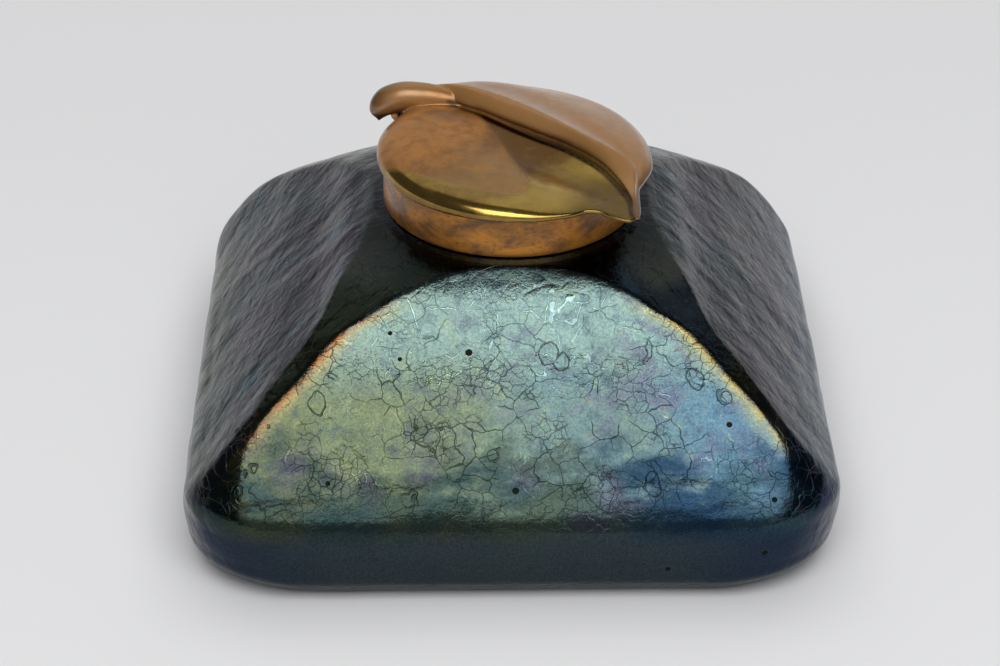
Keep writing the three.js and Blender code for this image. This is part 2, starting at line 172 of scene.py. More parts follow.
# Each table is read by height: (z, half width), (z, corner radius) or (z, radius).
OUTSIDE_HALF_WIDTH = [
    (0, 53.7), (1.2, 56.4), (3.6, 58.7), (8, 59.8), (12.6, BODY_HALF_WIDTH), (17, 58.9),
    (20, 56.8), (27.3, 50.7), (34.6, 43.5), (41.8, 35.5), (47.3, 30.5), (SHOULDER_Z, SHOULDER_RADIUS),
]
OUTSIDE_CORNER_RADIUS = [
    (0, 23), (3.6, 21), (13.6, 18.3), (20, 10.5), (27.3, 4), (33, 2), (SHOULDER_Z, 2),
]
DOME_RADIUS = [
    (16, 92), (20, 84), (24, 76.8), (28, 70.2), (33, 62.6), (38, 54.2), (42.7, 46.2), (45, 41.6),
    (47.9, 35.6), (49.6, 30.6), (SHOULDER_Z, SHOULDER_RADIUS),
]
DOME_EDGE = 0.3
INSIDE_HALF_WIDTH = [
    (7, 44), (8.5, 49), (13, 52.4), (20, 49.4), (27.3, 43.2), (34.6, 36), (41.8, 27.6), (46, 20.4),
    (48, NECK_BORE_RADIUS),
]
INSIDE_CORNER_RADIUS = [
    (7, 16), (13, 14), (20, 9), (34.6, 5), (41.8, 9), (46, 18), (48, NECK_BORE_RADIUS),
]
NECK_BEVEL = 0.5
NECK_OUTLINE = [
    (LAND_Z, NECK_RADIUS + 0.3), (LAND_Z + 0.4, NECK_RADIUS), (NECK_TOP_Z - NECK_BEVEL, NECK_RADIUS),
    (NECK_TOP_Z, NECK_RADIUS - NECK_BEVEL), (NECK_TOP_Z, NECK_BORE_RADIUS + NECK_BEVEL),
    (NECK_TOP_Z - NECK_BEVEL, NECK_BORE_RADIUS),
]
INNER_TOP_Z = 48
INNER_BEND_Z = 14
INNER_FLOOR_Z = 7

BODY_STEPS_PER_SIDE = 260
BODY_LEVEL_STEP = 0.3

# The relief of the blown glass: sizes and depths in millimetres.
WAVE_SIZE = 15
WAVE_DEPTH = 0.20
SMALL_WAVE_SIZE = 6
SMALL_WAVE_DEPTH = 0.07
STREAKS_AROUND = 5.5
STREAK_LENGTH = 22
STREAK_DEPTH = 0.16
FINE_STREAK_DEPTH = 0.07
RIPPLE_MIDDLE_Z = 18
RIPPLE_LENGTH = 14
RIPPLE_SPACING = 2.6
RIPPLE_DEPTH = 0.12
CELL_SIZE = 4.2
CELL_WARP_SIZE = 5
CELL_WARP = 1.8
CELL_WALL_WIDTH = 0.08
CELL_WALL_DEPTH = 0.06
CELL_SEED = 1


def square_radius(angle, half_width, corner_radius):
    """Distance from the centre of a round-cornered square to its edge, in one direction."""
    larger = np.maximum(abs(np.cos(angle)), abs(np.sin(angle)))
    smaller = np.minimum(abs(np.cos(angle)), abs(np.sin(angle)))
    straight = half_width - corner_radius
    reach = straight * (larger + smaller)
    corner = reach + np.sqrt(np.maximum(reach ** 2 - 2 * straight ** 2 + corner_radius ** 2, 0))
    return np.where(half_width * smaller <= straight * larger, half_width / larger, corner)


def ring_angles(steps_per_side):
    """Directions round the body, a little closer together at the four corners."""
    t = np.arange(steps_per_side) * 2 / steps_per_side - 1
    side = 0.75 * t + 0.25 * t ** 3
    return np.concatenate([math.pi / 4 * (2 * corner + 1 + side) for corner in range(4)])


def rings_at(levels, angles, reach):
    """Rings of points, one per level, that shift over to the neck's centre as they climb."""
    centre = NECK_CENTRE[0] * np.minimum(levels / SHOULDER_Z, 1)[:, None]
    z = np.broadcast_to(levels[:, None], reach.shape)
    return np.stack([centre + reach * np.cos(angles), reach * np.sin(angles), z], -1)


def square_rings(levels, half_widths, corner_radii, angles):
    radii = np.minimum(corner_radii, half_widths)[:, None]
    return rings_at(levels, angles, square_radius(angles[None, :], half_widths[:, None], radii))


def smooth_minimum(a, b):
    return np.minimum(a, b) - DOME_EDGE * np.log1p(np.exp(-abs(a - b) / DOME_EDGE))


def face_reach(levels, angles):
    """Distance from the axis to the four sloping faces."""
    half_widths = through(OUTSIDE_HALF_WIDTH, levels)[:, None]
    corner_radii = np.minimum(through(OUTSIDE_CORNER_RADIUS, levels)[:, None], half_widths)
    return square_radius(angles[None, :], half_widths, corner_radii)


def dome_reach(levels):
    """Distance from the axis to the dome that falls away from the neck."""
    return through(DOME_RADIUS, levels)[:, None]


def outside_rings(levels, angles):
    """Four sloping faces cut the dome, so each face ends in an arch at the top."""
    return rings_at(levels, angles, smooth_minimum(face_reach(levels, angles), dome_reach(levels)))


def arch_reach(levels, angles):
    """How far inside the arch of its face each point lies, in millimetres; less than 0 on the dome."""
    return dome_reach(levels) - face_reach(levels, angles)


def grid_normals(rings):
    around = np.roll(rings, -1, 1) - np.roll(rings, 1, 1)
    up = np.gradient(rings, axis=0)
    normals = np.cross(around, up)
    return normals / np.maximum(np.linalg.norm(normals, axis=-1, keepdims=True), 1e-9)


def even_levels(step):
    """Heights up the outside, evenly spaced along the profile."""
    fine = np.concatenate([np.linspace(0, 4, 400), np.linspace(4, SHOULDER_Z, 1600)[1:]])
    width = through(OUTSIDE_HALF_WIDTH, fine)
    length = np.concatenate([[0], np.cumsum(np.hypot(np.diff(fine), np.diff(width)))])
    return np.interp(np.linspace(0, length[-1], int(length[-1] / step)), length, fine)


def glass_relief(points):
    """How far each point stands out from the plain form: waves, streaks, ripples and cell walls."""
    def relief(p):
        reach = max(math.hypot(p.x, p.y), 1)
        side = smoothstep_one(abs(p.x) - abs(p.y), -4, 4)
        fan = Vector((p.x / reach * STREAKS_AROUND, p.y / reach * STREAKS_AROUND, p.z / STREAK_LENGTH))
        small_waves = noise.noise(p / SMALL_WAVE_SIZE + Vector((3, 1, 5)))
        waves = noise.noise(p / WAVE_SIZE) * WAVE_DEPTH + small_waves * SMALL_WAVE_DEPTH
        streaks = noise.noise(fan) * STREAK_DEPTH + noise.noise(fan * 2.2) * FINE_STREAK_DEPTH
        streaks = streaks * (0.4 + 0.9 * side)
        low = 1 - smoothstep_one(abs(p.z - RIPPLE_MIDDLE_Z), 3, 9)
        ripple_place = Vector((p.x / RIPPLE_LENGTH, p.y / RIPPLE_LENGTH, p.z / RIPPLE_SPACING))
        ripples = noise.noise(ripple_place) * RIPPLE_DEPTH * low
        warped = p + noise.noise_vector(p / CELL_WARP_SIZE) * CELL_WARP
        near = noise.voronoi(warped / CELL_SIZE)[0]
        wall = max(0.0, 1 - (near[1] - near[0]) / CELL_WALL_WIDTH)
        return waves + streaks + ripples - CELL_WALL_DEPTH * wall * wall

    # Without a seed, noise_vector follows the clock.
    noise.seed_set(CELL_SEED)
    return each(points, relief)


def make_glass_body():
    """The hollow blown body, with the reach inside its arches stored on the mesh for the material."""
    angles = ring_angles(BODY_STEPS_PER_SIDE)
    levels = even_levels(BODY_LEVEL_STEP)
    outside = outside_rings(levels, angles)
    normals = grid_normals(outside)
    fade = smoothstep(levels, 0, 3) * (1 - smoothstep(levels, SHOULDER_Z - 2, SHOULDER_Z))
    outside = outside + normals * (glass_relief(outside) * fade[:, None])[..., None]

    neck_levels, neck_radii = np.transpose(NECK_OUTLINE)
    neck = square_rings(neck_levels, neck_radii, neck_radii, angles)
    walls = np.linspace(INNER_TOP_Z, INNER_BEND_Z, 30)
    inner_levels = np.concatenate([walls, np.linspace(INNER_BEND_Z - 1, INNER_FLOOR_Z, 12)])
    half_widths = through(INSIDE_HALF_WIDTH, inner_levels)
    inside = square_rings(inner_levels, half_widths, through(INSIDE_CORNER_RADIUS, inner_levels), angles)

    rings = np.concatenate([outside, neck, inside])
    points = skin_points([0, 0, 0], rings, [0, 0, INNER_FLOOR_Z])
    faces = skin_faces(len(rings), len(angles))
    piece = new_object("glass_body_blown", points, faces, "base", "glass_body")
    reach = arch_reach(levels, angles)
    reaches = np.full(len(points), reach.max())
    reaches[1:1 + reach.size] = reach.ravel()
    set_attribute(piece, "arch", reaches)
    return piece


# ---- lid ----

# In the lid's own frame u runs from the hinge to the tip, and v to the left of that line.
# LID_EDGE is (degrees round from the tip, radius), and the lip and crest of the fold are read by u.
# A rail is (share of the way, its height at each of STATIONS): the front ones run from the front edge
# to the fold, and the back ones from the crest to the back edge.
LID_EDGE = [
    (-180, 25), (-150, 25), (-120, 25.1), (-90, 25.6), (-60, 26.2), (-35, 26.7), (-20, 27),
    (-13, 27.2), (-9.5, 28.6), (-7.5, 30.7), (-5, 32.8), (-1.8, 33.7), (1.8, 32.5), (6.7, 30.2),
    (13.3, 27.8), (20, 27.2), (30, 27), (43, 26.1), (61, 25.3), (90, 25), (180, 25),
]
LIP_V = [
    (-25, -5), (-23, -3.7), (-21.7, -1.8), (-18.6, 0.3), (-13, 1.2), (-4.2, 2.1), (3.8, 3.4), (10, 4.9),
    (18.6, 5.5), (22.1, 4.8), (26, 3.6), (29.3, 2), (32.2, -0.5), (33.7, -1.2),
]
LIP_Z = [
    (-25, 61.6), (-23, 62.3), (-18.6, 64.1), (-12, 64.9), (-4, 65), (4, 64.7), (13, 63.8), (18.6, 63),
    (22, 62.4), (26, 61.6), (29.3, 60.8), (33.7, 59.9),
]
CREST_V = [
    (-25, -1), (-23.8, -0.4), (-19.8, 1.6), (-16.2, 3.1), (-11.8, 4.2), (-1.9, 5.7), (9.1, 6.6),
    (14.1, 7.1), (18.8, 8), (22, 8.6), (25, 7.4), (28, 4.2), (33.7, -1.2),
]
CREST_Z = [
    (-25, 65), (-23.8, 65.5), (-19.8, 66.8), (-16.2, 67.3), (-9, 67.5), (-1.9, 67.4), (3.5, 67.1),
    (9.1, 66.6), (14.1, 66), (18.8, 65.2), (22, 64.3), (25, 62.9), (28, 61.6), (33.7, 59.9),
]
STATIONS = [-25, -20, -10, 0, 10, 18, 25, 33.7]
FRONT_RAILS = [
    (0, [61.6, 62.8, 63.4, 63.4, 63.1, 62.6, 61.3, 60]),
    (0.45, [61.8, 63.6, 64.6, 64.3, 63, 62, 60.9, 60]),
    (0.82, [61.9, 63.6, 64.4, 63.2, 61.8, 61.1, 60.6, 59.9]),
    (1, [61.6, 62.9, 64, 63.6, 62.8, 61.8, 60.8, 59.9]),
]
BACK_RAILS = [
    (0.14, [64, 66.2, 66.8, 66.4, 65.4, 64, 61.9, 60]),
    (0.45, [63, 65, 65.6, 65.2, 64.5, 63.3, 61.6, 60]),
    (0.8, [62, 62.8, 63.1, 63, 62.8, 62.3, 61.3, 60]),
    (1, [61.3, 61.5, 61.6, 61.6, 61.5, 61.3, 61, 60]),
]
UNDERCUT = [(-25, 0.2), (-21, 0.6), (-10, 0.6), (2, 0.1), (33.7, 0.05)]
EDGE_HEIGHT = 0.6
FRONT_EDGE_ROUNDING = 3.4
BACK_EDGE_ROUNDING = 2.2
UNDERSIDE_HOLLOW = 2.2
TIP_START_U = 26.0
TIP_END = (33.6, -1.2)
TIP_DROP = 0.6

LID_SECTIONS = 240
FRONT_STEPS = 60
BACK_STEPS = 40
UNDER_STEPS = 40
STEM_STEPS = 40
STEM_SIDES = 32
STEM_CAP = 0.6
CASTING_VOXEL = 0.2
CASTING_SOFTENING = 6


def lid_edge_radius(u, v):
    return through(LID_EDGE, np.degrees(np.arctan2(v, u)))


def edge_v(u, side):
    """Where a line across the lid at u meets its edge, on the side given by +1 or -1."""
    angle = np.linspace(0, 180, 7201)
    radius = through(LID_EDGE, side * angle)
    along = radius * np.cos(np.radians(angle))
    across = side * radius * np.sin(np.radians(angle))
    return np.interp(u, along[::-1], across[::-1])


def bottom_z(u):
    return LID_UNDERSIDE_Z - TIP_DROP * smoothstep(u, TIP_START_U, TIP_END[0] - 1)


def rolled_over(u, v, z):
    """The top rolls over to the edge as a quarter ellipse."""
    rounding = np.where(v < through(LIP_V, u), FRONT_EDGE_ROUNDING, BACK_EDGE_ROUNDING)
    share = np.clip((lid_edge_radius(u, v) - np.hypot(u, v)) / rounding, 0, 1)
    edge = bottom_z(u) + EDGE_HEIGHT
    return edge + np.maximum(z - edge, 0) * np.sqrt(1 - (1 - share) ** 2)


def rail_keys(rails, u):
    return [(share, float(through(list(zip(STATIONS, heights)), u))) for share, heights in rails]


def underside_z(u, v):
    hollow = 1 - ((u + 6) / 11) ** 2 - ((v - 5) / 9) ** 2
    return bottom_z(u) + UNDERSIDE_HOLLOW * np.sqrt(np.maximum(hollow, 0))


def lid_section(u):
    """One closed section across the lid at u, as (v, z) rows."""
    front, back = float(edge_v(u, -1)), float(edge_v(u, 1))
    span = back - front
    lip = float(np.clip(through(LIP_V, u), front + 0.05 * span, back - 0.05 * span))
    crest = float(np.clip(through(CREST_V, u), lip + 0.02 * span, back - 0.05 * span))
    lip_z, crest_z = float(through(LIP_Z, u)), float(through(CREST_Z, u))
    room = crest - lip

    share = np.sin(np.linspace(0, 1, FRONT_STEPS) * math.pi / 2) ** 1.5
    crevice = lip + min(float(through(UNDERCUT, u)), 0.6 * room)
    front_v = front + (crevice - front) * share
    front_z = rolled_over(u, front_v, through(rail_keys(FRONT_RAILS, u), share))

    crevice_z = front_z[-1]
    lip_z = max(float(rolled_over(u, lip, lip_z)), crevice_z + 0.03)
    rise = crest_z - lip_z
    fold = np.array([
        (0.0, crevice, crevice_z + 0.35 * (lip_z - crevice_z)),
        (1.0, lip + 0.12 * room, lip_z - 0.3 * (lip_z - crevice_z)),
        (2.0, lip, lip_z),
        (3.0, lip + 0.30 * room, lip_z + 0.50 * rise),
        (4.0, lip + 0.70 * room, lip_z + 0.90 * rise),
        (5.0, crest, crest_z),
    ])
    steps = np.linspace(0, 5, BACK_STEPS)
    fold_v = through(fold[:, :2], steps)
    fold_z = rolled_over(u, fold_v, through(fold[:, [0, 2]], steps))

    share = np.linspace(0, 1, BACK_STEPS + 1)[1:] ** 0.8
    share = np.sin(share * math.pi / 2) ** 1.3
    back_v = crest + (back - crest) * share
    back_z = rolled_over(u, back_v, through([(0, crest_z)] + rail_keys(BACK_RAILS, u), share))

    under_v = np.linspace(back, front, UNDER_STEPS)
    under_z = underside_z(u, under_v)
    v = np.concatenate([front_v, fold_v, back_v, under_v])
    z = np.concatenate([front_z, fold_z, back_z, under_z])
    return np.stack([np.full(len(v), u), v, z], -1)[::-1]


def lid_casting_points():
    """The start, the sections and the end of the casting's skin, closer together near its two ends."""
    hinge_end = -float(through(LID_EDGE, 180))
    share = (1 - np.cos(math.pi * np.arange(1, LID_SECTIONS) / LID_SECTIONS)) / 2
    stations = hinge_end + (TIP_END[0] - hinge_end) * share
    rings = np.array([lid_section(u) for u in stations])
    start = [hinge_end, 0, LID_UNDERSIDE_Z + EDGE_HEIGHT / 2]
    end = [*TIP_END, float(bottom_z(TIP_END[0])) + EDGE_HEIGHT / 2]
    return start, rings, end


# The stem's centre line as (u, v, z), and its radius by the share of its length.
STEM_POINTS = np.array([
    (-15.5, 3.4, 63.2), (-18.6, 1.2, 64), (-22.4, -1.8, 64.4), (-25.6, -4.6, 64.1),
    (-27.5, -6.5, 62.9), (-28, -7.7, 61.2), (-27.8, -8.1, 60),
])
STEM_RADIUS = [
    (0, 1.4), (0.25, 2.3), (0.5, 2.7), (0.72, 2.8), (0.84, 2.7), (0.91, 2.35), (0.96, 1.75), (1, 0.6),
]


def stem_rings():
    """Round sections along the stem, each square to it, and the point that closes its end."""
    length = np.concatenate([[0], np.cumsum(np.linalg.norm(np.diff(STEM_POINTS, axis=0), axis=1))])
    share = length / length[-1]
    t = np.linspace(0, 1, STEM_STEPS)
    path = np.stack([through(list(zip(share, STEM_POINTS[:, axis])), t) for axis in range(3)], -1)
    tangent = np.gradient(path, axis=0)
    tangent /= np.linalg.norm(tangent, axis=1, keepdims=True)
    side = np.cross(tangent, [0.2, -0.4, 1.0])
    side /= np.linalg.norm(side, axis=1, keepdims=True)
    up = np.cross(tangent, side)
    angle = np.arange(STEM_SIDES) * 2 * math.pi / STEM_SIDES
    radius = through(STEM_RADIUS, t)[:, None, None]
    ring = side[:, None] * np.cos(angle)[:, None] + up[:, None] * np.sin(angle)[:, None]
    return path[0], path[:, None] + radius * ring, path[-1] + tangent[-1] * STEM_CAP


def to_object_frame(points):
    """From lid coordinates, u towards the tip and v to its left, to the object's frame."""
    c, s = math.cos(LID_TURN), math.sin(LID_TURN)
    u, v, z = points[:, 0], points[:, 1], points[:, 2]
    return np.stack([NECK_CENTRE[0] + u * c - v * s, u * s + v * c, z], -1)


def to_lid_frame(points):
    c, s = math.cos(LID_TURN), math.sin(LID_TURN)
    x, y = points[:, 0] - NECK_CENTRE[0], points[:, 1]
    return np.stack([x * c + y * s, -x * s + y * c, points[:, 2]], -1)


def mesh_points_mm(piece):
    flat = np.empty(len(piece.data.vertices) * 3)
    piece.data.vertices.foreach_get("co", flat)
    return flat.reshape(-1, 3) / MM


def apply_modifiers(piece):
    graph = bpy.context.evaluated_depsgraph_get()
    fresh = bpy.data.meshes.new_from_object(piece.evaluated_get(graph))
    piece.modifiers.clear()
    piece.data = fresh
    piece.data.shade_smooth()


def cut_box(piece, low, high):
    """Cuts a box, given in lid coordinates, out of a piece."""
    ends = list(zip(low, high))
    corners = np.array([[u, v, z] for u in ends[0] for v in ends[1] for z in ends[2]])
    faces = [(0, 1, 3, 2), (4, 6, 7, 5), (0, 4, 5, 1), (2, 3, 7, 6), (0, 2, 6, 4), (1, 5, 7, 3)]
    mesh = bpy.data.meshes.new("cutter")
    mesh.from_pydata((to_object_frame(corners) * MM).tolist(), [], faces)
    cutter = linked("cutter", mesh)
    modifier = piece.modifiers.new("cut", "BOOLEAN")
    modifier.operation = "DIFFERENCE"
    modifier.solver = "EXACT"
    modifier.object = cutter
    apply_modifiers(piece)
    bpy.data.objects.remove(cutter)


# Across the front lobe, the line where the aged metal gives way to the bright hollow and rim.
AGED_EDGE_V = [(-14, 3), (-13, 2), (-2, -2), (9.5, -6.5), (14, -9), (16, -13), (18, -33)]
AGED_RIM_WIDTH = [(-180, -1.8), (-126, -1.6), (-108, 0.7), (-72, 4.8), (-42, 5.8), (180, 5.8)]


def rubbed_share(u, v):
    """Where handling keeps the brass bright: the front hollow, the front rim and the tip."""
    lip = through(LIP_V, u)
    on_front = 1 - smoothstep(v, lip - 0.6, lip + 0.6)
    aged_edge = np.interp(u, *np.transpose(AGED_EDGE_V))
    hollow = smoothstep(v, aged_edge - 0.8, aged_edge + 1.2) * smoothstep(u, -14, -11)
    from_edge = lid_edge_radius(u, v) - np.hypot(u, v)
    width = through(AGED_RIM_WIDTH, np.degrees(np.arctan2(v, u)))
    rim = 1 - smoothstep(from_edge, width - 0.8, width + 1.0)
    near_stem = smoothstep(u, -19, -16)
    return np.clip(np.maximum(hollow, rim * near_stem) * on_front, 0, 1)


def upward_share(piece):
    """0 on the underside of a piece and 1 elsewhere, for each point."""
    normals = np.empty(len(piece.data.vertices) * 3)
    piece.data.vertices.foreach_get("normal", normals)
    return smoothstep(normals[2::3], -0.6, -0.3)


def mark_lid_wear_and_painted_light(piece):
    """Stores on the lid's mesh where its brass is rubbed and olive, and where light and shade are painted:
    shade to gold over the rubbed brass, a reflection on the back, and shade in the fold's crevice, on the
    lowest rim and at the stem's end.
    """
    u, v, z = to_lid_frame(mesh_points_mm(piece)).T
    on_top = upward_share(piece)
    lip = through(LIP_V, np.clip(u, LIP_V[0][0], LIP_V[-1][0]))
    on_stem = 1 - smoothstep(u, -23, -15)
    # Painted shade along the lid's lowest rim, just above the collar, and on the shaded end of the stem.
    low_on_rim = 1 - smoothstep(z, 60.7, 61.7)
    stem_end = 1 - smoothstep(u, -28.5, -24)
    # Painted shadow in the crevice at the foot of the fold, where the band overhangs the front lobe.
    painted_fold_shadow = 1 - smoothstep(np.abs(v - lip + 0.5), 0.2, 0.9)
    painted_fold_shadow = painted_fold_shadow * smoothstep(u, -22, -18) * (1 - smoothstep(z, 64.6, 65.4))
    set_attribute(piece, "rubbed", rubbed_share(u, v) * on_top)
    # Painted shade and painted reflection: 0 where the rubbed brass is painted dark, as if reflecting the
    # dark room, rising to 1 towards the tip and to 0.55 on the front rim, where it is painted golden, as
    # if reflecting the lamps.
    set_attribute(piece, "painted_shade_gold", np.maximum(smoothstep(u, 7, 18), 0.55 * smoothstep(-v, 12, 18)))
    # The back lobe and the stem: lightened in the material as a painted reflection of the backdrop, and
    # given more coat.
    set_attribute(piece, "back", np.maximum(smoothstep(v, lip - 0.6, lip + 0.6), on_stem) * on_top)
    set_attribute(piece, "painted_low_shade", np.maximum(low_on_rim, stem_end))
    set_attribute(piece, "crevice", painted_fold_shadow * on_top)
    set_attribute(piece, "olive", smoothstep(u, -4, 8) * smoothstep(-v, 2, 5))


def make_lid_shell():
    """The casting and its stem melted into one skin, with a pocket below for the hinge leaf."""
    start, rings, end = lid_casting_points()
    casting = skin_points(start, rings, end)
    faces = skin_faces(len(rings), rings.shape[1])
    stem_start, stem, stem_end = stem_rings()
    for face in skin_faces(len(stem), stem.shape[1]):
        faces.append(tuple(n + len(casting) for n in face))
    points = to_object_frame(np.concatenate([casting, skin_points(stem_start, stem, stem_end)]))
    piece = new_object("lid_casting", points, faces, "lid", "lid_shell")

    remesh = piece.modifiers.new("one_skin", "REMESH")
    remesh.mode = "VOXEL"
    remesh.voxel_size = CASTING_VOXEL * MM
    soften = piece.modifiers.new("soften", "SMOOTH")
    soften.factor = 0.5
    soften.iterations = CASTING_SOFTENING
    apply_modifiers(piece)
    cut_box(
        piece,
        (LEAF_POCKET_START_U, -LEAF_POCKET_HALF_WIDTH, LID_UNDERSIDE_Z - 1),
        (LEAF_POCKET_END_U, LEAF_POCKET_HALF_WIDTH, LEAF_POCKET_TOP_Z),
    )
    mark_lid_wear_and_painted_light(piece)
    return piece


# ---- turned pieces: collar, ink pot, plaster and lid ring; and the eased hinge pieces ----

COLLAR_SEGMENTS = 260
RING_SEGMENTS = 160
POT_SEGMENTS = 128


def turned_rings(outline, segments):
    """An outline of (radius, z) points, turned round the neck's axis."""
    angle = np.arange(segments) * 2 * math.pi / segments
    outline = np.asarray(outline, float)
    radius, z = outline[:, 0][:, None], outline[:, 1][:, None]
    x = NECK_CENTRE[0] + radius * np.cos(angle)
    return np.stack([x, radius * np.sin(angle), np.broadcast_to(z, x.shape)], -1)


def loop_faces(ring_count, ring_size):
    """Faces of a ring-shaped skin: the last ring of points joins the first."""
    def at(ring, n):
        return ring % ring_count * ring_size + n % ring_size

    return [
        (at(ring, n), at(ring, n + 1), at(ring + 1, n + 1), at(ring + 1, n))
        for ring in range(ring_count) for n in range(ring_size)
    ]


def rounded(outline, radius, steps=4, closed=True):
    """The same outline with each corner rounded off."""
    corners = [np.array(p, float) for p in outline]
    count = len(corners)
    points = []
    for i, corner in enumerate(corners):
        if not closed and i in (0, count - 1):
            points.append(corner)
            continue
        before, after = corners[i - 1] - corner, corners[(i + 1) % count] - corner
        reach = min(radius, np.linalg.norm(before) / 2.2, np.linalg.norm(after) / 2.2)
        a = corner + before / np.linalg.norm(before) * reach
        b = corner + after / np.linalg.norm(after) * reach
        for t in np.linspace(0, 1, steps):
            points.append((1 - t) ** 2 * a + 2 * t * (1 - t) * corner + t * t * b)
    return np.array(points)


def subdivided(outline, step, closed=True):
    """The same outline with points no more than about a step apart."""
    rows = []
    count = len(outline)
    for i in range(count if closed else count - 1):
        a, b = outline[i], outline[(i + 1) % count]
        pieces = max(1, int(np.linalg.norm(b - a) / step))
        rows += [a + (b - a) * n / pieces for n in range(pieces)]
    if not closed:
        rows.append(outline[-1])
    return np.array(rows)


def band_piece(name, rings, body, node):
    return new_object(name, rings.reshape(-1, 3), loop_faces(*rings.shape[:2]), body, node)


def make_collar():
    """A band round the neck, with a flat top that leaves the opening of the ink pot."""
    inner = COLLAR_RADIUS - COLLAR_WALL
    under = COLLAR_TOP_Z - COLLAR_WALL
    outline = [
        (COLLAR_RADIUS, COLLAR_BOTTOM_Z), (COLLAR_RADIUS, COLLAR_TOP_Z),
        (COLLAR_OPENING_RADIUS, COLLAR_TOP_Z), (COLLAR_OPENING_RADIUS, under),
        (inner, under), (inner, COLLAR_BOTTOM_Z),
    ]
    rings = turned_rings(subdivided(rounded(outline, 0.35), 0.5), COLLAR_SEGMENTS)
    return band_piece("collar_turned", rings, "base", "collar_band")


def axis_piece(name, outline, node):
    """A turned piece that is solid to its axis: the outline starts and ends on it."""
    outline = subdivided(rounded(outline, 0.7, closed=False), 1.2, closed=False)
    rings = turned_rings(outline[1:-1], POT_SEGMENTS)
    start = [NECK_CENTRE[0], 0, outline[0][1]]
    end = [NECK_CENTRE[0], 0, outline[-1][1]]
    return new_object(name, skin_points(start, rings, end), skin_faces(*rings.shape[:2]), "base", node)


def make_ink_pot():
    """The glass pot that hangs in the neck by its flange."""
    bore = POT_RADIUS - POT_WALL
    floor = POT_LOW[2]
    inside = floor + POT_FLOOR_THICKNESS
    outline = [
        (0, floor), (POT_RADIUS - POT_FOOT, floor), (POT_RADIUS, floor + POT_FOOT),
        (POT_RADIUS, POT_FLANGE_BOTTOM_Z), (POT_FLANGE_RADIUS, POT_FLANGE_BOTTOM_Z),
        (POT_FLANGE_RADIUS, POT_HIGH[2]), (bore, POT_HIGH[2]),
        (bore, inside + POT_FLOOR_THICKNESS), (bore - POT_FLOOR_THICKNESS, inside), (0, inside),
    ]
    return axis_piece("ink_pot_pressed", outline, "ink_pot")


def ring_piece(name, node, wall, body, rounding):
    """A plain band the size of its CAD node, with its edges eased."""
    low, high = node_box_mm(node)
    outer = (high[1] - low[1]) / 2
    outline = [(outer, low[2]), (outer, high[2]), (outer - wall, high[2]), (outer - wall, low[2])]
    rings = turned_rings(subdivided(rounded(outline, rounding), 0.6), RING_SEGMENTS)
    return band_piece(name, rings, body, node)


def eased_copy(name, node, body, width):
    """A CAD node's own mesh with its hard edges eased."""
    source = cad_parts[node]
    piece = linked(name, source.data.copy())
    piece.matrix_world = source.matrix_world.copy()
    weld = piece.modifiers.new("weld", "WELD")
    weld.merge_threshold = 0.001 * MM
    ease = piece.modifiers.new("ease", "BEVEL")
    ease.width = width * MM
    ease.segments = 3
    ease.limit_method = "ANGLE"
    ease.angle_limit = math.radians(35)
    apply_modifiers(piece)
    piece.data.set_sharp_from_angle(angle=math.radians(40))
    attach(piece, body)
    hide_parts(node)
    return piece


# ---- materials ----

